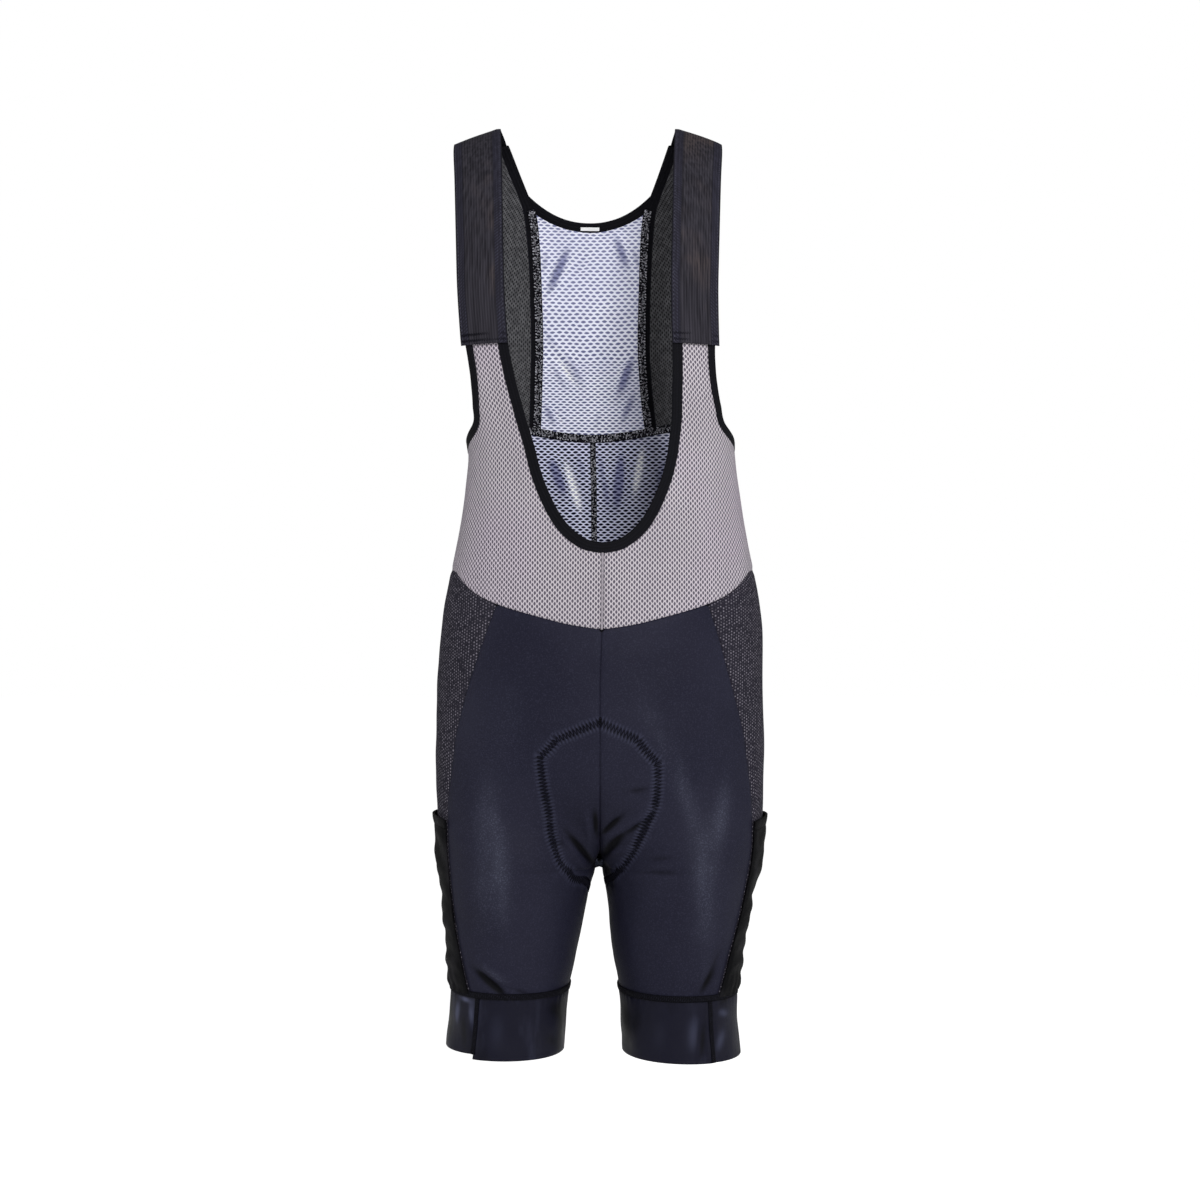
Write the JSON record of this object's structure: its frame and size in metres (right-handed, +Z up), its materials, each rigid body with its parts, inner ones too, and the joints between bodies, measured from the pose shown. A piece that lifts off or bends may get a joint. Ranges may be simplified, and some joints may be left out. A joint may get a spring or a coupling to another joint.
{
  "type": "cycling bib shorts",
  "caption": "Close-fitting cycling bib shorts with wide elastic shoulder straps, a mesh bib with a deep U neck, a padded seat, thigh pockets and smooth leg bands.",
  "frame": {"origin": "midway between the tops of the two shoulder straps, where the wearer's shoulders hold it", "axes": "+Z up, the garment's front faces -Y, +X towards the wearer's left side"},
  "size_m": [0.3346, 0.2326, 0.9196],
  "materials": {
    "bib_mesh": "grey-mauve knitted mesh with fine holes",
    "back_mesh": "white open knitted mesh with lens-shaped holes",
    "strap_mesh": "dark close-ribbed mesh",
    "strap_elastic": "charcoal woven elastic with fine lengthwise ribs",
    "binding": "near-black folded elastic binding and flat seams",
    "leg_fabric": "dark navy stretch knit with a soft sheen",
    "side_fabric": "matte dark textured knit",
    "pocket_fabric": "black stretch knit",
    "leg_band": "navy, smooth and slightly glossy",
    "pad": "soft brushed foam-backed knit",
    "label": "plain white woven tape"
  },
  "bodies": {
    "root": {"front_bib_left": "bib_mesh", "front_bib_right": "bib_mesh", "armhole_binding_left": "binding", "armhole_binding_right": "binding", "front_strap_left": "strap_elastic", "front_strap_right": "strap_elastic", "back_strap_band_left": "binding", "back_strap_band_right": "binding", "back_strap_left": "strap_mesh", "back_strap_right": "strap_mesh", "back_lower_left": "back_mesh", "back_lower_right": "back_mesh", "front_leg_left": "leg_fabric", "front_leg_right": "leg_fabric", "back_leg_left": "leg_fabric", "back_leg_right": "leg_fabric", "side_panel_left": "side_fabric", "side_panel_right": "side_fabric", "pocket_left": "pocket_fabric", "pocket_right": "pocket_fabric", "pocket_hem_left": "pocket_fabric", "pocket_hem_right": "pocket_fabric", "leg_band_front_left": "leg_band", "leg_band_front_right": "leg_band", "leg_band_back_left": "leg_band", "leg_band_back_right": "leg_band", "neckline_binding": "binding", "back_neck_binding": "binding", "back_upper_panel": "back_mesh", "neck_label": "label", "seat_pad": "pad"}
  },
  "joints": []
}
